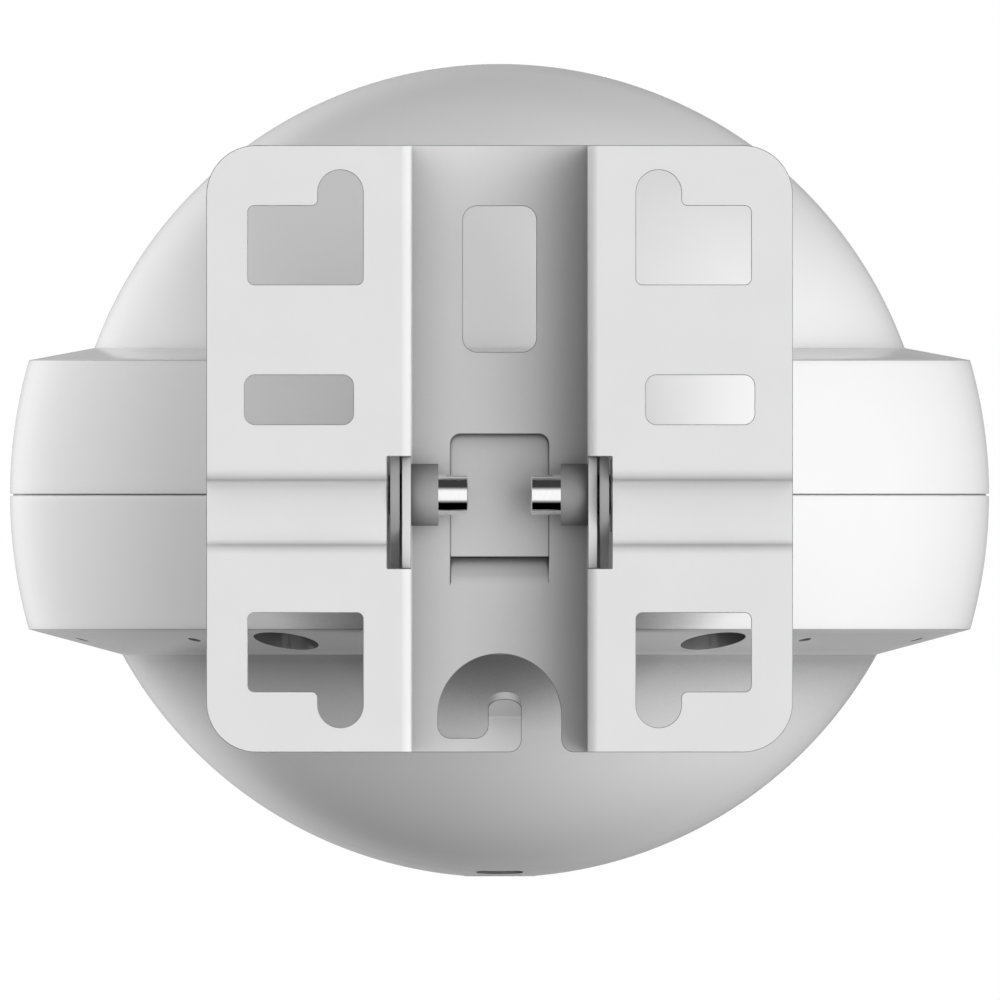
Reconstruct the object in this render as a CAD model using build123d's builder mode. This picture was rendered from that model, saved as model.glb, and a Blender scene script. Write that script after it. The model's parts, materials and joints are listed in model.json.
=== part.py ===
from build123d import *
from math import sqrt, radians, sin, cos, tan
import os

# Outdoor wireless bridge: a ball-shaped radio unit on a tilting wall and pole bracket.
# Millimetres. The wall is the plane Y = 0, the ball stands out towards +Y, Z is up.
# X = 0 is the middle of the bracket and Z = 0 is the height of the tilt axis.

os.makedirs("parts", exist_ok=True)

# ---- Fits -------------------------------------------------------------------------
running_fit = 0.05      # radial, a shaft in the hole that turns on it
body_gap = 0.3          # between faces that slide past each other on the tilt joint
seat_gap = 0.05         # between a piece and what it is mounted on

# ---- Wall bracket -------------------------------------------------------------------
sheet = 2.3             # thickness of the folded steel
bracket_width = 140.8
bracket_top = 83.9      # top edge above the tilt axis
bracket_drop = 61.8     # bottom edge below the tilt axis
bracket_corner = 12.0
channel_width = 42.4    # inside the pole channel
channel_depth = 25.0    # from the wall to the outer face of the web
bend_outer = 2.5
bend_inner = 0.3

keyhole_pitch_x = 76.4
keyhole_pitch_z = 123.0
keyhole_slot = 10.85    # width of the slot that the wall screw slides into
keyhole_window = 27.6   # width of the window that the screw head passes
keyhole_window_height = 18.9
keyhole_slot_rise = 3.2     # from the window's edge to the centre of the slot's round end
window_corner = 1.5

band_slot_width = 26.1
band_slot_height = 11.85
band_slot_x = 48.15
band_slot_z = 22.8
band_slot_corner = 2.6

web_window_width = 17.6
web_window_height = 35.0
web_window_z = 51.8
web_window_corner = 3.4

groove_z = -4.25        # centre of the pressed groove across each flange
groove_height = 15.9
groove_depth = 3.4
groove_angle = 72.0
groove_edge_round = 0.5  # inside radius where the flange turns into the groove
groove_root_round = 1.4  # inside radius where its wall meets its floor

side_slot_height = 26.9
side_slot_reach = 3.5   # how far the slot runs out from the channel wall
side_slot_depth = 5.5   # how deep it cuts the channel wall back from the wall plane

louvre_width = 23.6
louvre_top = 14.6
louvre_lip = -14.9      # lower edge of the tongue
louvre_knee = -20.5     # where the ramp turns off the web
louvre_bottom = -22.0   # lower end of the pressed opening
louvre_corner = 2.4
tongue_set = 1.8        # how far the tongue's top is pressed in
ramp_set = 2.6          # how far the ramp is pressed in behind the tongue
ramp_round = 6.6        # radius of the ramp's bend at the web

hook_radius = 14.8
hook_rise = 8.8         # centre of the hook slot's arc above the bottom edge
hook_floor = 3.4        # strip left under the closed side of the slot
hook_corner = 3.1
finger_width = 8.1
finger_offset = 1.25    # centre of the finger, to +X
finger_straight = 8.0   # height of its straight part above the bottom edge
finger_tip = 6.8        # length of the bent tip
finger_bend = 55.0
finger_bend_inner = 1.0

# ---- Tilt pivot -----------------------------------------------------------------------
pivot_depth = 15.0      # tilt axis in front of the wall
bolt_radius = 4.8
bolt_inner_end = 7.6    # from the middle plane to the end of each bolt
bolt_chamfer = 0.5
bolt_head_radius = 8.6
bolt_head_height = 5.5
bolt_head_round = 1.4
bolt_socket = 8.0
bolt_socket_depth = 3.5
nut_radius = 7.45
nut_length = 6.5
washer_radius = 9.0
washer_thickness = 1.6

# ---- Tilt yoke and saddle ---------------------------------------------------------------
ear_gap = 0.5           # between the channel wall and the ear
ear_radius = 12.5
yoke_reach = 18.0       # from the tilt axis to the back of the yoke's base
yoke_height = 36.0
yoke_bend = 2.8
yoke_sheet = 2.3
saddle_width = 62.0
saddle_height = 42.0
saddle_corner = 7.0
saddle_thickness = 2.7  # at its thinnest, in the middle
gasket_thickness = 1.0
gasket_margin = 1.5
arm_screw_pitch_x = 32.0
arm_screw_pitch_z = 24.0
arm_screw_radius = 2.0
arm_screw_head_radius = 3.8
arm_screw_length = 26.0
arm_screw_clearance = 0.2

# ---- Ball ------------------------------------------------------------------------------
belt_radius = 117.5
belt_half = 32.3        # half height of the belt
dome_radius = 103.4
upper_ledge_angle = 10.5
lower_ledge_angle = 15.6
lower_dome_rise = 11.6  # the lower dome's centre above the seam
wall = 3.0
root_depth = 0.75       # how far bosses, tubes and rims run into the wall they stand on
belt_edge = 0.5
seam_width = 0.5
seam_depth = 0.7
rim_width = 8.5         # inner flange along the seam
rim_height = 5.0

entry_radius = 7.8
entry_inset = 15.0      # middle of each entry inwards from the belt's widest round
entry_angle = 30.0      # each side of the rearmost point
entry_wall = 2.0
entry_depth = 20.0      # the top of each entry tube below the seam

shell_screw_inset = 13.9
shell_screw_angles = (45.0, 75.0)
shell_screw_radius = 1.5
shell_boss_radius = 4.0
shell_boss_height = 14.0
shell_screw_recess = 4.0

seal_inset = 5.5
seal_radius = 1.0
seal_groove_width = 2.2

lens_offset = 15.0      # status window behind the ball's axis
lens_width = 11.3
lens_height = 4.8
lens_recess = 1.2
vent_radius = 8.65
vent_recess = 1.2
vent_set_back = 0.25    # the cap's face above the lowest point
vent_round = 0.25
vent_stem_radius = 4.9
lens_reach = 9.0        # top of the lens above the lowest point

# ---- Inside the ball ---------------------------------------------------------------------
jack_clearance = 1.1    # between a jack and the module beside it
core_wall = 3.0
core_half_height = 24.0
deck_thickness = 3.0
pad_width = 48.0
pad_height = 12.0
pad_gap = 1.0           # between each pad and the rims of the seam
shell_clearance = 0.3

thermal_pad = 1.0
carrier_width = 82.0
carrier_height = 46.0
carrier_thickness = 4.0
carrier_margin = 1.0
array_thickness = 3.0
array_margin = 3.0
patch_size = 7.0
patch_height = 0.5
patch_columns = 7
patch_rows = 4
patch_pitch = 10.0

board_clearance = 5.0   # between the boards and the core frame's wall
board_thickness = 1.6
board_standoff = 5.0
board_post_inset = 6.95  # middle of each post inwards from the board's edge
board_post_radius = 3.5
board_screw_radius = 1.4
board_head_radius = 2.8
board_head_height = 1.8
shield_height = 4.0
shield_size = 30.0
shield_gap = 8.0
magnetics_size = 22.0
magnetics_height = 11.0

sink_base = 4.0
sink_clearance = 3.4    # fins to the inside of the dome
fin_thickness = 2.0
fin_pitch = 14.0
fin_count = 9
fin_top = 72.0
antenna_board = 32.0
antenna_size = 25.0
antenna_height = 4.0

jack_wall = 1.6
jack_height = 13.0
jack_gasket = 1.0
plug_width = 11.8
plug_height = 8.2
plug_depth = 10.0
status_board_width = 26.0
status_board_depth = 16.0
lens_flange = 1.6
lens_flange_height = 1.5

# ---- Worked out from the sizes above --------------------------------------------------------
bracket_height = bracket_top + bracket_drop
bracket_middle = (bracket_top - bracket_drop) / 2
channel_half = channel_width / 2
wall_outer = channel_half + sheet
web_back = channel_depth - sheet
slot_outer = wall_outer + side_slot_reach
ear_inner = wall_outer + ear_gap
ear_outer = ear_inner + yoke_sheet
washer_inner = ear_outer + body_gap
head_inner = washer_inner + washer_thickness
yoke_back = pivot_depth + yoke_reach
saddle_back = yoke_back + yoke_sheet
ball_y = saddle_back + saddle_thickness + gasket_thickness + belt_radius
core_height = 2 * core_half_height
saddle_corner_reach = sqrt((saddle_width / 2) ** 2 + (saddle_height / 2) ** 2)
saddle_reach = (saddle_thickness + gasket_thickness + belt_radius
                - sqrt(belt_radius**2 - saddle_corner_reach**2))
seam_half = seam_width / 2
inner_belt = belt_radius - wall
inner_dome = dome_radius - wall
entry_circle = belt_radius - entry_inset
shell_screw_circle = belt_radius - shell_screw_inset
seal_circle = belt_radius - seal_inset
# each antenna module faces 45 degrees off the middle and just clears the jack beside it
module_front = (entry_circle * cos(radians(45 - entry_angle)) - entry_radius - jack_wall
                - jack_clearance)
module_back = module_front - patch_height - array_thickness - carrier_thickness
core_half = module_back - thermal_pad
core_span = (core_half + carrier_width / 2 + carrier_margin) / sqrt(2)
board_half = core_half - core_wall - board_clearance
board_post_pitch = (board_half - board_post_inset) * sqrt(2)
shield_pitch = shield_size + shield_gap
deck_top = deck_thickness / 2
board_bottom = deck_top + board_standoff
board_top = board_bottom + board_thickness
lens_floor = lower_dome_rise - sqrt(dome_radius**2 - lens_offset**2)
pole_bottom = lower_dome_rise - dome_radius
screw_end = shell_boss_height - wall
screw_head = shell_screw_recess - belt_half - wall
lens_top = pole_bottom + lens_reach


def ring_point(angle):
    """Direction from the ball's axis, turned by an angle from the rearmost point."""
    return sin(radians(angle)), -cos(radians(angle))


def ball_plane(height):
    """A level plane through the ball, centred on its axis."""
    return Plane(origin=(0, ball_y, height))


def ball_section():
    """The upright plane through the ball's axis, with local Y up."""
    return Plane(origin=(0, ball_y, 0), x_dir=(1, 0, 0), z_dir=(0, -1, 0))


ball_axis = Axis((0, ball_y, 0), (0, 0, 1))


def save(part, name):
    part.label = name
    export_step(part, "parts/" + name + ".step")


def sphere_radius_at(radius, centre_z, z):
    """Radius of a sphere's level section at a height."""
    return sqrt(radius**2 - (z - centre_z) ** 2)


# =============================================================================
# Wall bracket
# =============================================================================

def keyhole(side, up):
    """One wall-screw window with its slot, mirrored to a corner of the plate."""
    slot_x = side * keyhole_pitch_x / 2
    slot_end = bracket_middle + up * keyhole_pitch_z / 2
    window_edge = slot_end - up * keyhole_slot_rise
    window_x = side * (keyhole_pitch_x / 2 - keyhole_slot / 2 + keyhole_window / 2)
    window_z = window_edge - up * keyhole_window_height / 2
    with Locations((window_x, window_z)):
        RectangleRounded(keyhole_window, keyhole_window_height, window_corner)
    with Locations((slot_x, (slot_end + window_z) / 2)):
        Rectangle(keyhole_slot, abs(slot_end - window_z))
    with Locations((slot_x, slot_end)):
        Circle(keyhole_slot / 2)


# level section of the folded plate: web, channel walls and the roots of the flanges
with BuildSketch(Plane.XY.offset(-bracket_drop)) as bracket_hat:
    with BuildLine():
        Polyline(
            (0, channel_depth), (wall_outer, channel_depth), (wall_outer, sheet),
            (slot_outer, sheet), (slot_outer, 0), (channel_half, 0),
            (channel_half, web_back), (0, web_back), (0, channel_depth))
    make_face()
    mirror(about=Plane.YZ)
    for side in (-1, 1):
        for bend_x, bend_y, bend_radius in (
            (channel_half, 0, bend_outer),
            (wall_outer, channel_depth, bend_outer),
            (wall_outer, sheet, bend_inner),
            (channel_half, web_back, bend_inner),
        ):
            corner = bracket_hat.vertices().sort_by_distance((side * bend_x, bend_y, 0))[0]
            fillet(corner, bend_radius)

groove_run = groove_depth / tan(radians(groove_angle)) / 2
groove_half = groove_height / 2
groove_offset = sheet * tan(radians(groove_angle / 2))  # from a front bend to the one behind

with BuildPart() as wall_bracket:
    add(bracket_hat.sketch)
    extrude(amount=bracket_height)

    # outer part of each flange, with the groove pressed across it
    with BuildSketch(Plane.YZ.offset(slot_outer)) as flange_section:
        with BuildLine():
            Polyline(
                (0, bracket_top),
                (0, groove_z + groove_half + groove_run),
                (groove_depth, groove_z + groove_half - groove_run),
                (groove_depth, groove_z - groove_half + groove_run),
                (0, groove_z - groove_half - groove_run),
                (0, -bracket_drop), (sheet, -bracket_drop),
                (sheet, groove_z - groove_half - groove_run - groove_offset),
                (sheet + groove_depth, groove_z - groove_half + groove_run - groove_offset),
                (sheet + groove_depth, groove_z + groove_half - groove_run + groove_offset),
                (sheet, groove_z + groove_half + groove_run + groove_offset),
                (sheet, bracket_top), (0, bracket_top))
        make_face()
        for level in (-1, 1):
            for run, depth, front_round, back_round in (
                    (1, 0, groove_edge_round + sheet, groove_edge_round),
                    (-1, groove_depth, groove_root_round, groove_root_round + sheet)):
                for face, offset, bend_round in ((0, 0, front_round),
                                                 (sheet, groove_offset, back_round)):
                    bend_z = groove_z + level * (groove_half + run * groove_run + offset)
                    bend = flange_section.vertices().sort_by_distance(
                        (face + depth, bend_z, 0))[0]
                    fillet(bend, bend_round)
    extrude(amount=bracket_width / 2 - slot_outer)
    mirror(about=Plane.YZ)

    # rounded outline
    with BuildSketch(Plane.XZ):
        with Locations((0, bracket_middle)):
            RectangleRounded(bracket_width, bracket_height, bracket_corner)
    extrude(amount=2 * channel_depth, both=True, mode=Mode.INTERSECT)

    # keyholes, band slots and the window in the web
    with BuildSketch(Plane.XZ) as plate_holes:
        for side in (-1, 1):
            for up in (-1, 1):
                keyhole(side, up)
        for side in (-1, 1):
            for up in (-1, 1):
                notch_x = side * (keyhole_pitch_x / 2 + keyhole_slot / 2)
                notch_z = bracket_middle + up * (keyhole_pitch_z / 2 - keyhole_slot_rise)
                notch = plate_holes.vertices().sort_by_distance((notch_x, notch_z, 0))[0]
                fillet(notch, window_corner)
        with Locations((-band_slot_x, band_slot_z), (band_slot_x, band_slot_z)):
            RectangleRounded(band_slot_width, band_slot_height, band_slot_corner)
        with Locations((0, web_window_z)):
            RectangleRounded(web_window_width, web_window_height, web_window_corner)
    extrude(amount=2 * channel_depth, both=True, mode=Mode.SUBTRACT)

    # slots at the bends that let the yoke's ears stand back past the channel wall
    with BuildSketch(Plane.XZ):
        for side in (-1, 1):
            with Locations((side * (channel_half + slot_outer) / 2, groove_z)):
                Rectangle(slot_outer - channel_half, side_slot_height)
    extrude(amount=side_slot_depth, both=True, mode=Mode.SUBTRACT)

    # opening of the louvre
    with BuildSketch(Plane.XZ) as louvre_opening:
        with Locations((0, (louvre_top + louvre_bottom) / 2)):
            Rectangle(louvre_width, louvre_top - louvre_bottom)
        fillet(louvre_opening.vertices().group_by(Axis.Y)[-1], louvre_corner)
    extrude(amount=2 * channel_depth, both=True, mode=Mode.SUBTRACT)

    # tongue: its top is pressed in behind the web, its lower edge is flush
    with BuildSketch(Plane.YZ.offset(-louvre_width / 2)):
        with BuildLine():
            Polyline(
                (web_back + tongue_set, louvre_top),
                (web_back, louvre_lip),
                (channel_depth, louvre_lip),
                (channel_depth + tongue_set, louvre_top),
                (web_back + tongue_set, louvre_top))
        make_face()
    extrude(amount=louvre_width)

    # ramp that runs from the web to behind the tongue
    with BuildSketch(Plane.YZ.offset(-louvre_width / 2)) as ramp_section:
        with BuildLine():
            Polyline(
                (web_back, louvre_bottom), (web_back, louvre_knee),
                (web_back + ramp_set, louvre_lip), (channel_depth + ramp_set, louvre_lip),
                (channel_depth, louvre_knee), (channel_depth, louvre_bottom),
                (web_back, louvre_bottom))
        make_face()
        for face, bend_round in ((web_back, ramp_round), (channel_depth, ramp_round - sheet)):
            fillet(ramp_section.vertices().sort_by_distance((face, louvre_knee, 0))[0],
                   bend_round)
    extrude(amount=louvre_width)

    # cable hook: an arched slot round a finger, open at the bottom on one side
    hook_z = hook_rise - bracket_drop
    finger_left = finger_offset - finger_width / 2
    finger_right = finger_offset + finger_width / 2
    finger_bend_z = finger_straight - bracket_drop
    floor_z = hook_floor - bracket_drop
    with BuildSketch(Plane.XZ) as hook_slot:
        with Locations((0, hook_z)):
            Circle(hook_radius)
        with Locations((0, hook_z - hook_radius)):
            Rectangle(2 * hook_radius, 2 * hook_radius, mode=Mode.SUBTRACT)
        with Locations(((finger_left - hook_radius) / 2, (hook_z + floor_z) / 2)):
            Rectangle(finger_left + hook_radius, hook_z - floor_z)
        pocket = hook_slot.vertices().group_by(Axis.Y)[0]
        fillet(pocket, hook_corner)
        with Locations(((finger_right + hook_radius) / 2, hook_z - hook_rise)):
            Rectangle(hook_radius - finger_right, 2 * hook_rise)
        with Locations((finger_offset, (finger_bend_z + floor_z) / 2)):
            Rectangle(finger_width, finger_bend_z - floor_z, mode=Mode.SUBTRACT)
    extrude(amount=2 * channel_depth, both=True, mode=Mode.SUBTRACT)
    mouth = wall_bracket.edges().filter_by(Axis.Y).group_by(Axis.Z)[0]
    mouth = mouth.filter_by_position(Axis.X, finger_right - seat_gap, hook_radius + seat_gap)
    fillet(mouth, hook_corner)

    # the finger's tip bends back towards the wall
    bend_axis_y = web_back - finger_bend_inner
    with BuildSketch(Plane.XY.offset(finger_bend_z)):
        with Locations((finger_offset, web_back + sheet / 2)):
            Rectangle(finger_width, sheet)
    revolve(axis=Axis((0, bend_axis_y, finger_bend_z), (1, 0, 0)), revolution_arc=finger_bend)
    tilt = radians(finger_bend)
    tip_plane = Plane(
        origin=(finger_offset, bend_axis_y + finger_bend_inner * cos(tilt),
                finger_bend_z + finger_bend_inner * sin(tilt)),
        x_dir=(-1, 0, 0), z_dir=(0, cos(tilt), sin(tilt)))
    with BuildSketch(tip_plane):
        with Locations((0, finger_tip - finger_width)):
            SlotOverall(2 * finger_width, finger_width, rotation=90)
        with Locations((0, finger_tip / 2)):
            Rectangle(finger_width, finger_tip, mode=Mode.INTERSECT)
    extrude(amount=sheet)

    # clearance holes for the tilt bolts through the channel walls
    with BuildSketch(Plane.YZ):
        with Locations((pivot_depth, 0)):
            Circle(bolt_radius + seat_gap)
    extrude(amount=slot_outer, both=True, mode=Mode.SUBTRACT)

save(wall_bracket.part, "wall_bracket")

# =============================================================================
# Tilt pivot: weld nuts, bolts and washers
# =============================================================================

for side, word in ((-1, "left"), (1, "right")):
    facing = Plane(origin=(0, pivot_depth, 0), x_dir=(0, side, 0), z_dir=(side, 0, 0))

    with BuildPart() as pivot_nut:
        with BuildSketch(facing.offset(channel_half - nut_length)):
            Circle(nut_radius)
            Circle(bolt_radius + seat_gap, mode=Mode.SUBTRACT)
        extrude(amount=nut_length)
    save(pivot_nut.part, "pivot_nut_" + word)

    with BuildPart() as tilt_bolt:
        with BuildSketch(facing.offset(bolt_inner_end)):
            Circle(bolt_radius)
        extrude(amount=head_inner - bolt_inner_end)
        chamfer(tilt_bolt.edges().sort_by(Axis.X)[0 if side > 0 else -1], bolt_chamfer)
        with BuildSketch(facing.offset(head_inner)):
            Circle(bolt_head_radius)
        extrude(amount=bolt_head_height)
        fillet(tilt_bolt.edges().sort_by(Axis.X)[-1 if side > 0 else 0], bolt_head_round)
        with BuildSketch(facing.offset(head_inner + bolt_head_height)):
            RegularPolygon(bolt_socket / 2, 6, major_radius=False)
        extrude(amount=-bolt_socket_depth, mode=Mode.SUBTRACT)
    save(tilt_bolt.part, "tilt_bolt_" + word)

with BuildPart() as tilt_washers:
    with BuildSketch(Plane.YZ.offset(washer_inner)):
        with Locations((pivot_depth, 0)):
            Circle(washer_radius)
            Circle(bolt_radius + 2 * seat_gap, mode=Mode.SUBTRACT)
    extrude(amount=washer_thickness)
    mirror(about=Plane.YZ)
save(tilt_washers.part, "tilt_washers")

# =============================================================================
# Tilt yoke, saddle and gasket between the bracket and the ball
# =============================================================================

with BuildPart() as tilt_yoke:
    with BuildSketch(Plane.XY.offset(-yoke_height / 2)) as yoke_section:
        with BuildLine():
            Polyline(
                (-ear_outer, 0), (-ear_outer, saddle_back), (ear_outer, saddle_back),
                (ear_outer, 0), (ear_inner, 0), (ear_inner, yoke_back),
                (-ear_inner, yoke_back), (-ear_inner, 0), (-ear_outer, 0))
        make_face()
        for side in (-1, 1):
            outer = yoke_section.vertices().sort_by_distance((side * ear_outer, saddle_back, 0))
            fillet(outer[0], yoke_bend)
            inner = yoke_section.vertices().sort_by_distance((side * ear_inner, yoke_back, 0))
            fillet(inner[0], yoke_bend - yoke_sheet)
    extrude(amount=yoke_height)
    with BuildSketch(Plane.YZ):
        with Locations((pivot_depth, 0)):
            Circle(ear_radius)
        with Locations((saddle_back - yoke_sheet / 2, 0)):
            Rectangle(yoke_sheet, yoke_height)
        make_hull()
        with Locations((pivot_depth, 0)):
            Circle(bolt_radius + running_fit, mode=Mode.SUBTRACT)
    extrude(amount=2 * ear_outer, both=True, mode=Mode.INTERSECT)
    with Locations(Plane(origin=(0, yoke_back, 0), x_dir=(1, 0, 0), z_dir=(0, -1, 0))):
        with GridLocations(arm_screw_pitch_x, arm_screw_pitch_z, 2, 2):
            CounterSinkHole(arm_screw_radius + arm_screw_clearance,
                            arm_screw_head_radius + seat_gap, depth=2 * yoke_sheet)
save(tilt_yoke.part, "tilt_yoke")

with BuildPart() as arm_saddle:
    with BuildSketch(Plane.XZ.offset(-saddle_back)):
        RectangleRounded(saddle_width, saddle_height, saddle_corner)
        with GridLocations(arm_screw_pitch_x, arm_screw_pitch_z, 2, 2):
            Circle(arm_screw_radius + arm_screw_clearance, mode=Mode.SUBTRACT)
    extrude(amount=-saddle_reach)
    with Locations((0, ball_y, 0)):
        Sphere(belt_radius + gasket_thickness, mode=Mode.SUBTRACT)
save(arm_saddle.part, "arm_saddle")

with BuildPart() as saddle_gasket:
    with BuildSketch(Plane.XZ.offset(-saddle_back)):
        RectangleRounded(saddle_width - 2 * gasket_margin, saddle_height - 2 * gasket_margin,
                         saddle_corner - gasket_margin)
        with GridLocations(arm_screw_pitch_x, arm_screw_pitch_z, 2, 2):
            Circle(arm_screw_radius + arm_screw_clearance, mode=Mode.SUBTRACT)
    extrude(amount=-saddle_reach)
    with Locations((0, ball_y, 0)):
        Sphere(belt_radius + gasket_thickness - seat_gap, mode=Mode.INTERSECT)
        Sphere(belt_radius + seat_gap, mode=Mode.SUBTRACT)
save(saddle_gasket.part, "saddle_gasket")

with BuildPart() as arm_screws:
    head_cone = arm_screw_head_radius - arm_screw_radius
    with BuildSketch(Plane.XZ.offset(-yoke_back)):
        with GridLocations(arm_screw_pitch_x, arm_screw_pitch_z, 2, 2):
            Circle(arm_screw_radius)
    extrude(amount=-arm_screw_length)
    with BuildSketch(Plane.XZ.offset(-yoke_back)):
        with GridLocations(arm_screw_pitch_x, arm_screw_pitch_z, 2, 2):
            Circle(arm_screw_head_radius)
    extrude(amount=-head_cone, taper=45)
save(arm_screws.part, "arm_screws")

# =============================================================================
# Ball: two shells that meet at the seam round the belt
# =============================================================================

def shell_outline(inset, up):
    """Half section of one side of the ball as points, moved in by an inset.

    Gives the belt's edge, the ledge's inner end and the pole, each as (radius, height).
    """
    centre = 0 if up > 0 else lower_dome_rise
    slope = tan(radians(upper_ledge_angle if up > 0 else lower_ledge_angle))
    edge_height = belt_half - inset
    edge_radius = sphere_radius_at(belt_radius - inset, 0, edge_height)
    dome = dome_radius - inset
    # the ledge is a straight line; find where it runs into the dome
    start = edge_height + edge_radius * slope - up * centre
    flat = 1 + slope**2
    root = sqrt((start * slope) ** 2 - flat * (start**2 - dome**2))
    ledge_radius = (start * slope + root) / flat
    ledge_height = edge_height + (edge_radius - ledge_radius) * slope
    return (edge_radius, up * edge_height), (ledge_radius, up * ledge_height), (
        0, centre + up * dome)


def sphere_middle(first, last, centre):
    """Point half way along a meridian arc about a centre on the axis."""
    radius = sqrt(first[0] ** 2 + (first[1] - centre) ** 2)
    mean_x = (first[0] + last[0]) / 2
    mean_z = (first[1] + last[1]) / 2 - centre
    scale = radius / sqrt(mean_x**2 + mean_z**2)
    return mean_x * scale, mean_z * scale + centre


def half_ball(inset, edge_round, up):
    """Solid of one side of the ball, with every face moved in by an inset."""
    dome_centre = 0 if up > 0 else lower_dome_rise
    round_belt = (belt_radius - inset, 0)
    edge, ledge, pole = shell_outline(inset, up)
    with BuildPart() as body:
        with BuildSketch(ball_section()) as section:
            with BuildLine():
                Line((0, 0), round_belt)
                ThreePointArc(round_belt, sphere_middle(round_belt, edge, 0), edge)
                Line(edge, ledge)
                ThreePointArc(ledge, sphere_middle(ledge, pole, dome_centre), pole)
                Line(pole, (0, 0))
            make_face()
            if edge_round:
                fillet(section.vertices().sort_by_distance((*edge, 0))[0], edge_round)
        revolve(axis=ball_axis)
    return body.part


shell_screw_bearings = []
for shell_angle in shell_screw_angles:
    for bearing in (shell_angle, -shell_angle, 180 - shell_angle, shell_angle - 180):
        shell_screw_bearings.append(bearing)

shell_screw_spots = []
for bearing in shell_screw_bearings:
    across, back = ring_point(bearing)
    shell_screw_spots.append((shell_screw_circle * across, shell_screw_circle * back))

entry_spots = []
for bearing in (-entry_angle, entry_angle):
    across, back = ring_point(bearing)
    entry_spots.append((entry_circle * across, entry_circle * back))

for up, shell_name in ((1, "upper_shell"), (-1, "lower_shell")):
    with BuildPart() as fittings:
        # bosses for the shell screws; the lower ones and the entry tubes stand on the ledge
        with BuildSketch(ball_plane(0)):
            with Locations(*shell_screw_spots):
                Circle(shell_boss_radius)
        extrude(amount=shell_boss_height if up > 0 else pole_bottom)
        if up < 0:
            with BuildSketch(ball_plane(-entry_depth)):
                with Locations(*entry_spots):
                    Circle(entry_radius + entry_wall)
            extrude(amount=entry_depth + pole_bottom)
            add(half_ball(wall - root_depth, 0, up), mode=Mode.INTERSECT)

    with BuildPart() as shell:
        add(half_ball(0, belt_edge, up))
        add(half_ball(wall, 0, up), mode=Mode.SUBTRACT)

        # flange along the seam, with the seam's groove outside it
        with BuildSketch(ball_plane(0)):
            Circle(inner_belt + root_depth)
            Circle(inner_belt - rim_width, mode=Mode.SUBTRACT)
        extrude(amount=up * rim_height)
        with BuildSketch(ball_plane(0)):
            Circle(belt_radius + seam_depth)
            Circle(belt_radius - seam_depth, mode=Mode.SUBTRACT)
        extrude(amount=up * seam_half, mode=Mode.SUBTRACT)
        add(fittings.part)

        # holes for the shell screws and for the arm screws, half of these in each shell
        with BuildSketch(ball_plane(0)):
            with Locations(*shell_screw_spots):
                Circle(shell_screw_radius + seat_gap)
        extrude(amount=screw_end if up > 0 else pole_bottom, mode=Mode.SUBTRACT)
        with BuildSketch(Plane.XZ.offset(-saddle_back)):
            with Locations((-arm_screw_pitch_x / 2, up * arm_screw_pitch_z / 2),
                           (arm_screw_pitch_x / 2, up * arm_screw_pitch_z / 2)):
                Circle(arm_screw_radius + arm_screw_clearance)
        extrude(amount=-saddle_reach - wall, mode=Mode.SUBTRACT)

        if up < 0:
            # bores of the cable entries
            with BuildSketch(ball_plane(-entry_depth)):
                with Locations(*entry_spots):
                    Circle(entry_radius)
            extrude(amount=entry_depth + pole_bottom, mode=Mode.SUBTRACT)

            # groove for the seal
            with BuildSketch(ball_section()):
                with Locations((seal_circle, -seal_radius)):
                    Rectangle(seal_groove_width, 2 * seal_radius)
            revolve(axis=ball_axis, mode=Mode.SUBTRACT)

            # seat of the vent at the lowest point
            with BuildSketch(ball_plane(pole_bottom - wall)):
                Circle(vent_radius + seat_gap)
            extrude(amount=wall + vent_recess, mode=Mode.SUBTRACT)
            with BuildSketch(ball_plane(pole_bottom + vent_recess)):
                Circle(vent_radius + wall)
                Circle(vent_stem_radius + seat_gap, mode=Mode.SUBTRACT)
            extrude(amount=wall)
            with BuildSketch(ball_plane(pole_bottom)):
                Circle(vent_stem_radius + seat_gap)
            extrude(amount=vent_recess + wall, mode=Mode.SUBTRACT)

            # window of the status lens
            with BuildSketch(ball_plane(pole_bottom)):
                with Locations((0, -lens_offset)):
                    SlotOverall(lens_width + 2 * seat_gap, lens_height + 2 * seat_gap)
            extrude(amount=lens_reach, mode=Mode.SUBTRACT)
    save(shell.part, shell_name)

with BuildPart() as shell_seal:
    with BuildSketch(ball_section()):
        with Locations((seal_circle, -seal_radius)):
            Circle(seal_radius)
    revolve(axis=ball_axis)
save(shell_seal.part, "shell_seal")

with BuildPart() as shell_screws:
    with BuildSketch(ball_plane(screw_head)):
        with Locations(*shell_screw_spots):
            Circle(shell_screw_radius)
    extrude(amount=screw_end - seat_gap - screw_head)
    with BuildSketch(ball_plane(screw_head)):
        with Locations(*shell_screw_spots):
            RegularPolygon(shell_screw_radius / 2, 6, major_radius=False)
    extrude(amount=shell_screw_radius, mode=Mode.SUBTRACT)
save(shell_screws.part, "shell_screws")

with BuildPart() as vent_cap:
    with BuildSketch(ball_plane(pole_bottom + vent_recess)):
        Circle(vent_radius)
    extrude(amount=vent_set_back - vent_recess)
    fillet(vent_cap.edges().group_by(Axis.Z)[0], vent_round)
    with BuildSketch(ball_plane(pole_bottom + vent_recess)):
        Circle(vent_stem_radius)
    extrude(amount=wall + vent_recess)
save(vent_cap.part, "vent_cap")

with BuildPart() as status_lens:
    lens_bottom = lens_floor + lens_recess
    with BuildSketch(ball_plane(lens_bottom)):
        with Locations((0, -lens_offset)):
            SlotOverall(lens_width, lens_height)
    extrude(amount=lens_top - lens_bottom)
    with BuildSketch(ball_plane(lens_top)):
        with Locations((0, -lens_offset)):
            SlotOverall(lens_width + 2 * lens_flange, lens_height + 2 * lens_flange)
    extrude(amount=lens_flange_height)
save(status_lens.part, "status_lens")

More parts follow.
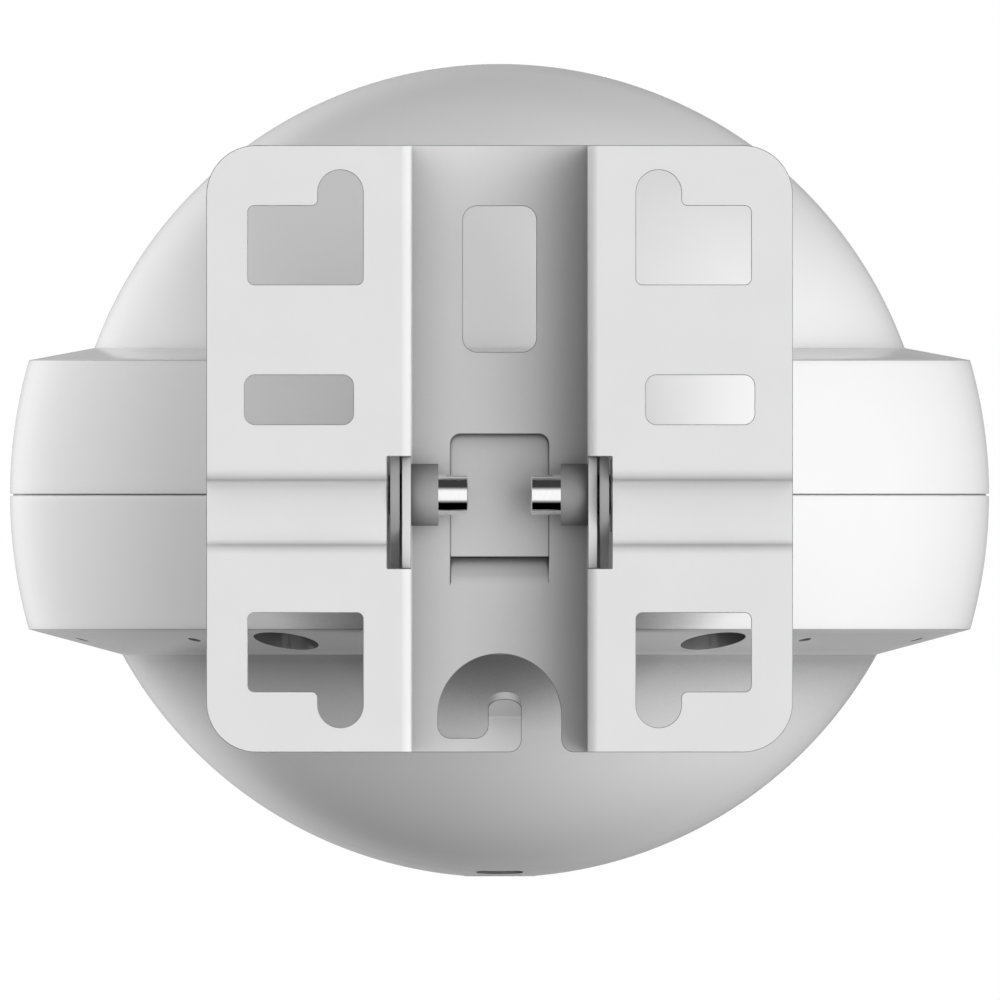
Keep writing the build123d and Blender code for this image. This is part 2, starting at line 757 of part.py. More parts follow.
with BuildPart() as status_board:
    with BuildSketch(ball_plane(lens_top + lens_flange_height)):
        with Locations((0, -lens_offset)):
            RectangleRounded(status_board_width, status_board_depth, board_thickness)
    extrude(amount=board_thickness)
save(status_board.part, "status_board")

# =============================================================================
# Cable entries: a gasket and a jack on top of each entry tube
# =============================================================================

gasket_top = jack_gasket - entry_depth

with BuildPart() as jack_gaskets:
    with BuildSketch(ball_plane(-entry_depth)):
        with Locations(*entry_spots):
            Circle(entry_radius + entry_wall)
            Circle(entry_radius, mode=Mode.SUBTRACT)
    extrude(amount=jack_gasket)
save(jack_gaskets.part, "jack_gaskets")

for spot, word in zip(entry_spots, ("left", "right")):
    with BuildPart() as ethernet_jack:
        with BuildSketch(ball_plane(gasket_top)):
            with Locations(spot):
                Circle(entry_radius + jack_wall)
        extrude(amount=jack_height)
        with BuildSketch(ball_plane(gasket_top)):
            with Locations(spot):
                Rectangle(plug_width, plug_height)
        extrude(amount=plug_depth, mode=Mode.SUBTRACT)
    save(ethernet_jack.part, "ethernet_jack_" + word)

# =============================================================================
# Core frame, which the arm screws pull on and which carries the boards
# =============================================================================

def core_outline(inset):
    """Outline of the core, a square with cut corners, with every side moved in by an inset."""
    Rectangle(2 * (core_half - inset), 2 * (core_half - inset), rotation=45)
    Rectangle(2 * (core_span - inset), 2 * (core_span - inset), mode=Mode.INTERSECT)


with BuildPart() as core_frame:
    # pads that reach back to the shells, above and below the seam's rims
    pad_middle = rim_height + pad_gap + pad_height / 2
    pad_start = core_span - core_wall
    with BuildSketch(Plane.XZ.offset(pad_start - ball_y)):
        with Locations((0, pad_middle), (0, -pad_middle)):
            Rectangle(pad_width, pad_height)
        with GridLocations(arm_screw_pitch_x, arm_screw_pitch_z, 2, 2):
            Circle(arm_screw_radius + seat_gap, mode=Mode.SUBTRACT)
    extrude(amount=belt_radius - pad_start)
    with Locations((0, ball_y, 0)):
        Sphere(inner_belt - shell_clearance, mode=Mode.INTERSECT)

    # ring with a flat face for each antenna module, closed by a deck
    with BuildSketch(ball_plane(-core_half_height)):
        core_outline(0)
    extrude(amount=core_height)
    for up in (-1, 1):
        with BuildSketch(ball_plane(up * deck_top)):
            core_outline(core_wall)
        extrude(amount=up * core_half_height, mode=Mode.SUBTRACT)
    with BuildSketch(ball_plane(-deck_top)):
        with GridLocations(board_post_pitch, board_post_pitch, 2, 2):
            Circle(board_screw_radius)
    extrude(amount=deck_thickness, mode=Mode.SUBTRACT)
save(core_frame.part, "core_frame")

for side, place in ((-1, "left"), (1, "right")):
    for ahead, end in ((1, "front"), (-1, "rear")):
        outward = (side / sqrt(2), ahead / sqrt(2), 0)
        face = Plane(origin=(0, ball_y, 0), x_dir=(-outward[1], outward[0], 0), z_dir=outward)
        with BuildPart() as radio:
            with BuildSketch(face.offset(module_back)):
                RectangleRounded(carrier_width, carrier_height, array_margin)
            extrude(amount=carrier_thickness)
            with BuildSketch(face.offset(module_back + carrier_thickness)):
                Rectangle(carrier_width - 2 * array_margin, carrier_height - 2 * array_margin)
            extrude(amount=array_thickness)
            with BuildSketch(face.offset(module_back + carrier_thickness + array_thickness)):
                with GridLocations(patch_pitch, patch_pitch, patch_columns, patch_rows):
                    Rectangle(patch_size, patch_size)
            extrude(amount=patch_height)
        save(radio.part, "radio_" + end + "_" + place)

with BuildPart() as thermal_pads:
    for side in (-1, 1):
        for ahead in (-1, 1):
            outward = (side / sqrt(2), ahead / sqrt(2), 0)
            face = Plane(origin=(0, ball_y, 0), x_dir=(-outward[1], outward[0], 0),
                         z_dir=outward)
            with BuildSketch(face.offset(core_half)):
                Rectangle(carrier_width - array_margin, carrier_height - array_margin)
            extrude(amount=thermal_pad)
save(thermal_pads.part, "thermal_pads")

# =============================================================================
# Boards inside the core frame
# =============================================================================

for up, board_name in ((1, "main_board"), (-1, "power_board")):
    with BuildPart() as board:
        with BuildSketch(ball_plane(up * board_bottom)):
            core_outline(core_wall + board_clearance)
            with GridLocations(board_post_pitch, board_post_pitch, 2, 2):
                Circle(board_screw_radius + seat_gap, mode=Mode.SUBTRACT)
        extrude(amount=up * board_thickness)
    save(board.part, board_name)

with BuildPart() as board_pillars:
    for up in (-1, 1):
        with BuildSketch(ball_plane(up * deck_top)):
            with GridLocations(board_post_pitch, board_post_pitch, 2, 2):
                RegularPolygon(board_post_radius, 6)
                Circle(board_screw_radius + seat_gap, mode=Mode.SUBTRACT)
        extrude(amount=up * board_standoff)
save(board_pillars.part, "board_pillars")

with BuildPart() as board_screws:
    for up in (-1, 1):
        with BuildSketch(ball_plane(up * seat_gap)):
            with GridLocations(board_post_pitch, board_post_pitch, 2, 2):
                Circle(board_screw_radius - seat_gap)
        extrude(amount=up * (board_top - seat_gap))
        with BuildSketch(ball_plane(up * board_top)):
            with GridLocations(board_post_pitch, board_post_pitch, 2, 2):
                Circle(board_head_radius)
        extrude(amount=up * board_head_height)
save(board_screws.part, "board_screws")

with BuildPart() as shield_cans:
    with BuildSketch(ball_plane(board_top)):
        with GridLocations(shield_pitch, shield_pitch, 2, 2):
            RectangleRounded(shield_size, shield_size, board_thickness)
    extrude(amount=shield_height)
save(shield_cans.part, "shield_cans")

with BuildPart() as power_magnetics:
    with BuildSketch(ball_plane(-board_top)):
        with GridLocations(shield_pitch, shield_pitch, 2, 1):
            RectangleRounded(magnetics_size, magnetics_size, board_thickness)
    extrude(amount=-magnetics_height)
save(power_magnetics.part, "power_magnetics")

# =============================================================================
# Heat sink in the upper dome, with the positioning antenna on its fins
# =============================================================================

with BuildPart() as heat_sink:
    with BuildSketch(ball_plane(core_half_height)):
        core_outline(0)
    extrude(amount=sink_base)
    with BuildSketch(ball_plane(core_half_height + sink_base)):
        core_outline(0)
        with GridLocations(fin_pitch, 1, fin_count, 1):
            Rectangle(fin_thickness, 2 * core_span, mode=Mode.INTERSECT)
    extrude(amount=fin_top - core_half_height - sink_base)
    with Locations((0, ball_y, 0)):
        Sphere(inner_dome - sink_clearance, mode=Mode.INTERSECT)
save(heat_sink.part, "heat_sink")

with BuildPart() as gnss_antenna:
    with BuildSketch(ball_plane(fin_top)):
        RectangleRounded(antenna_board, antenna_board, board_thickness)
    extrude(amount=board_thickness)
    with BuildSketch(ball_plane(fin_top + board_thickness)):
        Rectangle(antenna_size, antenna_size)
    extrude(amount=antenna_height)
save(gnss_antenna.part, "gnss_antenna")
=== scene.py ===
"""Outdoor wireless bridge on its wall and pole bracket, in metres.

The wall is the plane y = 0, the ball stands out towards +y, z is up.
"""
import json
import math

import bmesh
import bpy
from mathutils import Matrix, Vector


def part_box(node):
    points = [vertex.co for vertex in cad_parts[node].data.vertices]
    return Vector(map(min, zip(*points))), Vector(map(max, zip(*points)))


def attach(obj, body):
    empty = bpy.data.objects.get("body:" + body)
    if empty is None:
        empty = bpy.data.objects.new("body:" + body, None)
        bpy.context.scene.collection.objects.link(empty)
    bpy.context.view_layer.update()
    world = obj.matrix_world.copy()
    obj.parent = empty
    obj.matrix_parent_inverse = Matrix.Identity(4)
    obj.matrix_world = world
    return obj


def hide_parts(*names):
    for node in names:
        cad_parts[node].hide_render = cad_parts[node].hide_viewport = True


MM = 0.001


# ---------------------------------------------------------------------------
# Camera
# ---------------------------------------------------------------------------

VIEW_WIDTH = 240 * MM
VIEW_CENTRE = Vector((0.1 * MM, 0, -1.25 * MM))
VIEW_DISTANCE = 1.5
VIEW_CLIP = (0.01, 20)


def make_camera():
    """Straight view from the wall side, with parallel rays."""
    data = bpy.data.cameras.new("camera")
    data.type = "ORTHO"
    data.ortho_scale = VIEW_WIDTH
    data.clip_start, data.clip_end = VIEW_CLIP
    camera = bpy.data.objects.new("camera", data)
    bpy.context.collection.objects.link(camera)
    camera.location = VIEW_CENTRE - Vector((0, VIEW_DISTANCE, 0))
    camera.rotation_euler = (math.radians(90), 0, 0)
    bpy.context.scene.camera = camera


make_camera()

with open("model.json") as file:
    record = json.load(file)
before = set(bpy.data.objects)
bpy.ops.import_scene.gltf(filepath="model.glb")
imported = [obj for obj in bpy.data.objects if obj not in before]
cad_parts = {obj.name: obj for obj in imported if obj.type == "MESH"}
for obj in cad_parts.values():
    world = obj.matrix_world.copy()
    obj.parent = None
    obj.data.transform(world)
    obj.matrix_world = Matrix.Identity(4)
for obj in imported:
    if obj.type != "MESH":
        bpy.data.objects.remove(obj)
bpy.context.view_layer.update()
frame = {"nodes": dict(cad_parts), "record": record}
nodes = frame["nodes"]


def node_box(name):
    """The lowest and highest corner of a CAD node's box."""
    low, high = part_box(name)
    return Vector(low), Vector(high)


# ---------------------------------------------------------------------------
# Sizes that several pieces share
# ---------------------------------------------------------------------------

upper_low, upper_high = node_box("upper_shell")
BALL = Vector((0, (upper_low.y + upper_high.y) / 2, 0))
DOME_RADIUS = upper_high.z
LOWER_DOME_RISE = 11.6 * MM     # centre of the lower dome above the belt's middle
LOWEST = LOWER_DOME_RISE - DOME_RADIUS

BELT_RADIUS = 117.5 * MM        # the belt is the middle of a larger ball
BELT_HALF = 32.3 * MM           # from the belt's middle to each of its edges
UPPER_LEDGE = 10.5              # slope in degrees, from the belt's edge to the dome
LOWER_LEDGE = 15.0
SHELL_WALL = 3 * MM
SEAM_HALF = 0.25 * MM
SEAM_DEPTH = 0.7 * MM
RIM_WIDTH = 8.5 * MM            # flange inside the shell at the seam
RIM_HEIGHT = 5 * MM

ENTRY_RADIUS = 7.8 * MM
ENTRY_WALL = 2 * MM
ENTRY_CIRCLE = 102.5 * MM
ENTRY_BEARINGS = (-30, 30)
ENTRY_TOP = node_box("jack_gaskets")[0].z
SCREW_CIRCLE = 103.6 * MM
SCREW_BEARINGS = (-135, -105, -75, -45, 45, 75, 105, 135)
SCREW_HOLE = 1.55 * MM
VENT_SEAT_RADIUS = 8.7 * MM
VENT_SEAT_HEIGHT = 1.2 * MM     # above the lowest point of the lower dome
LENS_BACK = 15 * MM             # from the ball's axis towards the wall

PIVOT = Vector((0, 15 * MM, 0))


# ---------------------------------------------------------------------------
# Finishes
# ---------------------------------------------------------------------------

NOISE_MIDDLE = (0.35, 0.65)     # where most of a noise's values lie
# openness of the surroundings, which sets how dark the painted shade in hollows is
OPENNESS_SAMPLES = 24
DEEP_AT = 0.3                   # openness of a deep corner
HOLLOW_AT = 0.5                 # openness of a plain hollow


class NodeTree:
    """A node tree that is built up from its sockets."""

    def __init__(self, tree):
        self.tree = tree

    def node(self, kind, **values):
        """A node with some of its inputs set by name."""
        made = self.tree.nodes.new(kind)
        for key, value in values.items():
            made.inputs[key].default_value = value
        return made

    def feed(self, socket, value):
        """Give an input a number, or the output of another node."""
        if isinstance(value, bpy.types.NodeSocket):
            self.tree.links.new(value, socket)
        else:
            socket.default_value = value

    def maths(self, operation, first, second, clamp=False):
        node = self.node("ShaderNodeMath")
        node.operation = operation
        node.use_clamp = clamp
        self.feed(node.inputs[0], first)
        self.feed(node.inputs[1], second)
        return node.outputs["Value"]

    def map_range(self, value, start, end, low, high, interpolation="LINEAR"):
        """A value that runs from low to high while another runs from start to end."""
        node = self.node("ShaderNodeMapRange")
        node.interpolation_type = interpolation
        for key, number in (("From Min", start), ("From Max", end),
                            ("To Min", low), ("To Max", high)):
            node.inputs[key].default_value = number
        self.feed(node.inputs["Value"], value)
        return node.outputs["Result"]


class Finish(NodeTree):
    """A node material built up step by step."""

    def __init__(self, name, roughness, metallic=0.0):
        self.material = bpy.data.materials.new(name)
        self.material.use_nodes = True
        super().__init__(self.material.node_tree)
        self.shader = self.tree.nodes["Principled BSDF"]
        self.shader.inputs["Roughness"].default_value = roughness
        self.shader.inputs["Metallic"].default_value = metallic

    def on_object(self, texture, stretch):
        """Put a texture on object coordinates."""
        place = self.node("ShaderNodeTexCoord")
        mapping = self.node("ShaderNodeMapping", Scale=stretch)
        self.feed(mapping.inputs["Vector"], place.outputs["Object"])
        self.feed(texture.inputs["Vector"], mapping.outputs["Vector"])

    def noise(self, scale, detail=2.0, stretch=(1, 1, 1)):
        """Cloudy noise."""
        texture = self.node("ShaderNodeTexNoise", Scale=scale, Detail=detail)
        self.on_object(texture, stretch)
        return texture.outputs["Fac"]

    def cells(self, scale, stretch=(1, 1, 1), distance="EUCLIDEAN"):
        """Small cells, as the distance from their middles."""
        texture = self.node("ShaderNodeTexVoronoi", Scale=scale)
        texture.distance = distance
        self.on_object(texture, stretch)
        return texture.outputs["Distance"]

    def shade(self, pattern, dark, light, start=NOISE_MIDDLE[0], end=NOISE_MIDDLE[1]):
        """Colour that runs from dark to light over a pattern."""
        ramp = self.node("ShaderNodeValToRGB")
        for stop, position, colour in zip(ramp.color_ramp.elements, (start, end), (dark, light)):
            stop.position = position
            stop.color = (*colour, 1)
        self.feed(ramp.inputs["Fac"], pattern)
        self.feed(self.shader.inputs["Base Color"], ramp.outputs["Color"])
        return ramp.outputs["Color"]

    def paint_shade_in_hollows(self, paint, reach, deep, hollow, open_at, lean, spare=0.0,
                      own_only=False):
        """Paint shade into the colour in hollows, darker where less of the surroundings is open.

        Deep corners keep one share of the colour, plain hollows another, and all of it
        is left from a given openness on. A lean looks more upwards, so that the painted
        shade goes darker on undersides close to other parts. Faces that rise are spared in
        proportion. With own_only, a piece gets painted shade from its own shape and not
        from what stands before it.
        """
        facing = self.node("ShaderNodeNewGeometry").outputs["Normal"]
        up = self.node("ShaderNodeVectorMath")
        up.operation = "ADD"
        up.inputs[1].default_value = (0, 0, lean)
        self.feed(up.inputs[0], facing)
        aim = self.node("ShaderNodeVectorMath")
        aim.operation = "NORMALIZE"
        self.feed(aim.inputs[0], up.outputs["Vector"])
        openness = self.node("ShaderNodeAmbientOcclusion", Distance=reach)
        openness.only_local = own_only
        openness.samples = OPENNESS_SAMPLES
        self.feed(openness.inputs["Normal"], aim.outputs["Vector"])
        slope = self.node("ShaderNodeSeparateXYZ")
        self.feed(slope.inputs["Vector"], facing)
        rise = self.maths("MULTIPLY", slope.outputs["Z"], spare, clamp=True)
        share = self.node("ShaderNodeValToRGB")
        first, last = share.color_ramp.elements
        first.position = DEEP_AT
        first.color = (*grey(deep), 1)
        last.position = open_at
        share.color_ramp.elements.new(HOLLOW_AT).color = (*grey(hollow), 1)
        self.feed(share.inputs["Fac"], self.maths("ADD", rise, openness.outputs["AO"]))
        # multiply the colour by the painted shade
        painted_shade_mix = self.node("ShaderNodeMix", Factor=1.0)
        painted_shade_mix.data_type = "RGBA"
        painted_shade_mix.blend_type = "MULTIPLY"
        colour_a, colour_b = [socket for socket in painted_shade_mix.inputs if socket.type == "RGBA"]
        result, = [socket for socket in painted_shade_mix.outputs if socket.type == "RGBA"]
        self.feed(colour_a, paint)
        self.feed(colour_b, share.outputs["Color"])
        self.feed(self.shader.inputs["Base Color"], result)

    def gloss(self, pattern, low, high):
        """Roughness that runs from low to high over the middle of a pattern."""
        self.feed(self.shader.inputs["Roughness"],
                  self.map_range(pattern, *NOISE_MIDDLE, low, high))

    def relief(self, pattern, distance):
        bump = self.node("ShaderNodeBump", Distance=distance)
        self.feed(bump.inputs["Height"], pattern)
        self.feed(self.shader.inputs["Normal"], bump.outputs["Normal"])


def grey(value):
    return (value, value, value)


def powder_coat(name, tone, hollow=0.54, own_only=True):
    """Satin powder coat: very fine pebble, slow changes of gloss, painted shade in hollows."""
    finish = Finish(name, 0.45)
    cloud = finish.noise(45)
    paint = finish.shade(cloud, grey(tone - 0.008), grey(tone + 0.008))
    # painted shade: the colour goes darker in hollows and down in the channel
    finish.paint_shade_in_hollows(paint, reach=33 * MM, deep=0.15, hollow=hollow, open_at=0.97,
                         lean=0.3, own_only=own_only)
    finish.gloss(cloud, 0.42, 0.5)
    finish.relief(finish.noise(2400, 3.0), 0.012 * MM)
    return finish.material


def shell_plastic(name, tone):
    """Glossy moulded plastic with a hardly visible unevenness and painted shade in hollows."""
    finish = Finish(name, 0.12)
    cloud = finish.noise(30)
    skin = finish.shade(cloud, grey(tone - 0.005), grey(tone + 0.005))
    # painted shade: undersides near the ledges and the bracket go darker, rising faces are
    # spared
    finish.paint_shade_in_hollows(skin, reach=55 * MM, deep=0.15, hollow=0.33, open_at=0.82,
                         lean=0.7, spare=2.5)
    finish.gloss(cloud, 0.11, 0.14)
    return finish.material


def polished_steel(name, tone):
    """Polished metal with faint turning marks."""
    finish = Finish(name, 0.05, metallic=1.0)
    marks = finish.noise(700, stretch=(6, 1, 1))
    finish.shade(marks, grey(tone - 0.03), grey(tone + 0.01))
    finish.gloss(marks, 0.04, 0.08)
    return finish.material


def zinc_plate(name, tone, rough):
    """Zinc or tin plate: soft metal with a crystal mottle."""
    finish = Finish(name, rough, metallic=1.0)
    mottle = finish.cells(900)
    finish.shade(mottle, grey(tone - 0.05), grey(tone + 0.03), 0.1, 0.6)
    finish.gloss(mottle, rough - 0.06, rough + 0.06)
    return finish.material


def soft_rubber(name, tone):
    """Matt rubber with a fine grain."""
    finish = Finish(name, 0.6)
    grain = finish.noise(1800, 3.0)
    finish.shade(grain, grey(tone * 0.7), grey(tone))
    finish.gloss(grain, 0.55, 0.7)
    finish.relief(grain, 0.02 * MM)
    return finish.material


def moulded_plastic(name, dark, light, rough):
    """Fine spark-eroded texture on a moulded part."""
    finish = Finish(name, rough)
    cloud = finish.noise(120)
    finish.shade(cloud, dark, light)
    finish.gloss(cloud, rough - 0.04, rough + 0.05)
    finish.relief(finish.noise(2200, 3.0), 0.01 * MM)
    return finish.material


def cast_metal(name, tone):
    """Blasted casting: grainy, with a slow mottle."""
    finish = Finish(name, 0.45, metallic=1.0)
    cloud = finish.noise(150, 4.0)
    finish.shade(cloud, grey(tone - 0.05), grey(tone + 0.04))
    finish.gloss(cloud, 0.4, 0.55)
    finish.relief(finish.noise(1300, 3.0), 0.04 * MM)
    return finish.material


def solder_resist(name):
    """Green board with paler copper tracks under the resist."""
    finish = Finish(name, 0.32)
    tracks = finish.cells(260, stretch=(1, 1, 0.2), distance="CHEBYCHEV")
    finish.shade(tracks, (0.012, 0.085, 0.035), (0.02, 0.14, 0.055), 0.25, 0.3)
    finish.relief(tracks, 0.02 * MM)
    return finish.material


def smoked_lens(name):
    """Clear-faced window, nearly black."""
    finish = Finish(name, 0.06)
    cloud = finish.noise(200)
    finish.shade(cloud, grey(0.012), grey(0.02))
    finish.gloss(cloud, 0.05, 0.08)
    return finish.material


FINISHES = {
    "bracket_paint": powder_coat("bracket_powder_coat", 0.82),
    "arm_paint": powder_coat("arm_powder_coat", 0.38),
    # darker tone for painted shade along broken sheet edges
    "painted_edge_shade": powder_coat("painted_edge_shade_coat", 0.3),
    # the nuts get stronger painted shade, cast by the parts beside them too
    "nut_grey": powder_coat("nut_coat", 0.38, hollow=0.4, own_only=False),
    "bright_bolt": polished_steel("polished_bolt", 0.95),
    "zinc_steel": zinc_plate("zinc_plate", 0.6, 0.4),
    "shell_white": shell_plastic("white_shell", 0.84),
    # darker tone for painted shade on the belt's rounded edge
    "painted_belt_edge_shade": shell_plastic("painted_belt_edge_shade", 0.5),
    "seal_rubber": soft_rubber("black_rubber", 0.035),
    "vent_grey": moulded_plastic("vent_plastic", grey(0.55), grey(0.6), 0.42),
    "lens_smoke": smoked_lens("smoked_lens"),
    "circuit_board": solder_resist("solder_resist"),
    "jack_black": moulded_plastic("jack_plastic", grey(0.02), grey(0.032), 0.42),
    "cast_aluminium": cast_metal("cast_aluminium", 0.55),
    "antenna_ceramic": moulded_plastic("antenna_ceramic", (0.55, 0.48, 0.33),
                                       (0.62, 0.55, 0.4), 0.5),
    "pad_grey": soft_rubber("thermal_pad", 0.2),
    "tin_plate": zinc_plate("tin_plate", 0.66, 0.3),
}

SLOT_OF = {entry["node"]: entry["material_slot"] for entry in frame["record"]["subparts"]}

for name, node in nodes.items():
    node.data.materials.clear()
    node.data.materials.append(FINISHES[SLOT_OF[name]])


# ---------------------------------------------------------------------------
# Making pieces
# ---------------------------------------------------------------------------

SHARP = 35              # edges that turn by more degrees than this are rounded
CREASE = 30             # and those that turn by more than this are shaded hard
SHELL_CREASE = 35
TURNED_WELD = 0.001 * MM
CAD_WELD = 0.002 * MM
CUT_WELD = 0.0005 * MM
FLAT_WITHIN = 0.3       # degrees between CAD facets that are joined up


def new_object(name, mesh):
    """A linked object from a bmesh, which is used up."""
    data = bpy.data.meshes.new(name)
    mesh.to_mesh(data)
    mesh.free()
    made = bpy.data.objects.new(name, data)
    bpy.context.collection.objects.link(made)
    return made


def finish_piece(mesh, name, body, stands_for, slot, crease=CREASE):
    """Turn a bmesh into a piece that rides on a body and stands for CAD nodes.

    Its faces are smooth, with hard edges where the surface turns sharply.
    """
    for face in mesh.faces:
        face.smooth = True
    for edge in mesh.edges:
        edge.smooth = (len(edge.link_faces) == 2
                       and edge.calc_face_angle(0) < math.radians(crease))
    piece = new_object(name, mesh)
    piece.data.materials.append(FINISHES[slot])
    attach(piece, body)
    if stands_for:
        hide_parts(*stands_for)
    return piece


def soften(mesh, width, above=SHARP):
    """Round the edges that turn by more than an angle."""
    sharp = [edge for edge in mesh.edges
             if len(edge.link_faces) == 2 and edge.calc_face_angle(0) > math.radians(above)]
    bmesh.ops.bevel(mesh, geom=sharp, offset=width, offset_type="OFFSET", affect="EDGES",
                    segments=2, profile=0.5, material=-1, clamp_overlap=True)


def combine(first, second, operation):
    """Join or cut one solid with another; both are used up."""
    body = new_object("working_body", first)
    tool = new_object("working_tool", second)
    step = body.modifiers.new("step", "BOOLEAN")
    step.operation = operation
    step.solver = "EXACT"
    step.object = tool
    view = bpy.context.evaluated_depsgraph_get()
    result = bmesh.new()
    result.from_mesh(body.evaluated_get(view).to_mesh())
    for made in (body, tool):
        data = made.data
        bpy.data.objects.remove(made)
        bpy.data.meshes.remove(data)
    bmesh.ops.remove_doubles(result, verts=result.verts, dist=CUT_WELD)
    return result


def gather(meshes):
    """Put several separate bmeshes into one."""
    whole = bmesh.new()
    for mesh in meshes:
        data = bpy.data.meshes.new("working_copy")
        mesh.to_mesh(data)
        mesh.free()
        whole.from_mesh(data)
        bpy.data.meshes.remove(data)
    return whole


def rod(radius, low, high, centre, sides):
    """Upright cylinder between two heights."""
    mesh = bmesh.new()
    bmesh.ops.create_cone(mesh, cap_ends=True, segments=sides, radius1=radius, radius2=radius,
                          depth=high - low)
    bmesh.ops.translate(mesh, verts=mesh.verts, vec=(*centre, (low + high) / 2))
    return mesh


def hex_rod(across_flats, low, high, centre=(0, 0)):
    return rod(across_flats / math.sqrt(3), low, high, centre, 6)


def block(size, centre=(0, 0, 0)):
    """Rectangular solid about a centre."""
    mesh = bmesh.new()
    bmesh.ops.create_cube(mesh, size=1)
    bmesh.ops.scale(mesh, verts=mesh.verts, vec=size)
    bmesh.ops.translate(mesh, verts=mesh.verts, vec=centre)
    return mesh


def tidy_solid(mesh):
    """Merge doubles and point every face outwards."""
    bmesh.ops.remove_doubles(mesh, verts=mesh.verts, dist=TURNED_WELD)
    bmesh.ops.recalc_face_normals(mesh, faces=mesh.faces)


class Outline:
    """A chain of edges in the upright plane through an axis, grown from one point.

    Places are (distance from the axis, height above the origin).
    """

    def __init__(self, start, origin):
        self.mesh = bmesh.new()
        self.origin = origin
        self.mesh.verts.new(self.place(start))
        self.start = start
        self.end = start

    def place(self, spot):
        return self.origin + Vector((spot[0], 0, spot[1]))

    def point(self, spot):
        """The chain's vertex at a place."""
        return min(self.mesh.verts, key=lambda v: (v.co - self.place(spot)).length)

    def line(self, spot, cuts=0):
        grown = bmesh.ops.extrude_vert_indiv(self.mesh, verts=[self.point(self.end)])
        grown["verts"][0].co = self.place(spot)
        if cuts:
            bmesh.ops.subdivide_edges(self.mesh, edges=grown["edges"], cuts=cuts)
        self.end = spot

    def arc(self, spot, centre, steps):
        """Arc about a centre to a place at the same distance from it."""
        start = self.place(self.end) - self.place(centre)
        end = self.place(spot) - self.place(centre)
        turn = math.atan2(end.z, end.x) - math.atan2(start.z, start.x)
        bmesh.ops.spin(self.mesh, geom=[self.point(self.end)], cent=self.place(centre),
                       axis=(0, -1, 0), angle=turn, steps=steps)
        self.end = spot

    def close(self):
        """Join the ends, unless both are on the axis and meet there anyway."""
        if self.end[0] > 0 or self.start[0] > 0:
            self.mesh.edges.new((self.point(self.end), self.point(self.start)))

    def spin(self, sides):
        """Solid of revolution about the upright line through the origin."""
        bmesh.ops.spin(self.mesh, geom=self.mesh.verts[:] + self.mesh.edges[:],
                       cent=self.origin, axis=(0, 0, 1), angle=2 * math.pi, steps=sides,
                       use_merge=True)
        tidy_solid(self.mesh)
        return self.mesh


def turned(corners, sides, origin=Vector((0, 0, 0))):
    """Solid of revolution from the corners of its section."""
    outline = Outline(corners[0], origin)
    for corner in corners[1:]:
        outline.line(corner)
    outline.close()
    return outline.spin(sides)


# ---------------------------------------------------------------------------
# Ball shells
# ---------------------------------------------------------------------------

SHELL_SIDES = 256
ROUND_SIDES = 96            # sides of middling round parts
HOLE_SIDES = 32             # and of small holes
SHELL_EDGE_ROUND = 0.25 * MM
WELL_BELOW = -60 * MM       # a height under the lower ledge, where its holes' cutters start
ENTRY_FOOT = -50 * MM       # where the entries' tubes start, before the ledge trims them
SCREW_HOLE_TOP = -20 * MM
CUT_SPARE = 5 * MM          # how far a cutter stands out of what it cuts
LEDGE_INNER = 80 * MM       # the entries' trimming solid is level from here to the axis
LEDGE_SPARE = 10 * MM       # and stands this far over their tops
LENS_SLOT = (11.4 * MM, 4.9 * MM)
LENS_SLOT_TOP = LOWEST + 9 * MM
ROUND_END_STEPS = 16        # steps round each end of the lens slot
SHADED_EDGE_REACH = 112 * MM     # the belt's edge with painted shade lies further out than this,
SHADED_EDGE_BAND = 0.5 * MM      # within this of the belt's end,
SHADED_EDGE_TILT = (0.35, 0.93)  # and its faces rise by a share between these


def radius_at(ball_radius, height):
    return math.sqrt(ball_radius**2 - height**2)


def ledge_end(inset, up):
    """Where the ledge meets the dome, with every face moved in by an inset."""
    centre = 0 if up > 0 else LOWER_DOME_RISE
    slope = math.tan(math.radians(UPPER_LEDGE if up > 0 else LOWER_LEDGE))
    edge_height = BELT_HALF - inset
    edge_radius = radius_at(BELT_RADIUS - inset, edge_height)
    dome = DOME_RADIUS - inset
    start = edge_height + edge_radius * slope - up * centre
    flat = 1 + slope**2
    root = math.sqrt((start * slope) ** 2 - flat * (start**2 - dome**2))
    end_radius = (start * slope + root) / flat
    return end_radius, up * (edge_height + (edge_radius - end_radius) * slope)


def shell_solid(up):
    """One shell, spun from its section: belt, ledge, dome, inner wall and seam rim."""
    dome_centre = (0, 0 if up > 0 else LOWER_DOME_RISE)
    inner_belt = BELT_RADIUS - SHELL_WALL
    inner_dome = DOME_RADIUS - SHELL_WALL
    inner_edge = BELT_HALF - SHELL_WALL
    outline = Outline((radius_at(BELT_RADIUS, SEAM_HALF), up * SEAM_HALF), BALL)
    outline.arc((radius_at(BELT_RADIUS, BELT_HALF), up * BELT_HALF), (0, 0), steps=18)
    outline.line(ledge_end(0, up), cuts=5)
    outline.arc((0, dome_centre[1] + up * DOME_RADIUS), dome_centre, steps=64)
    outline.line((0, dome_centre[1] + up * inner_dome))
    outline.arc(ledge_end(SHELL_WALL, up), dome_centre, steps=40)
    outline.line((radius_at(inner_belt, inner_edge), up * inner_edge))
    outline.arc((radius_at(inner_belt, RIM_HEIGHT), up * RIM_HEIGHT), (0, 0), steps=8)
    outline.line((inner_belt - RIM_WIDTH, up * RIM_HEIGHT))
    outline.line((inner_belt - RIM_WIDTH, 0))
    outline.line((BELT_RADIUS - SEAM_DEPTH, 0))
    outline.line((BELT_RADIUS - SEAM_DEPTH, up * SEAM_HALF))
    outline.close()
    mesh = outline.spin(SHELL_SIDES)
    soften(mesh, SHELL_EDGE_ROUND)
    return mesh


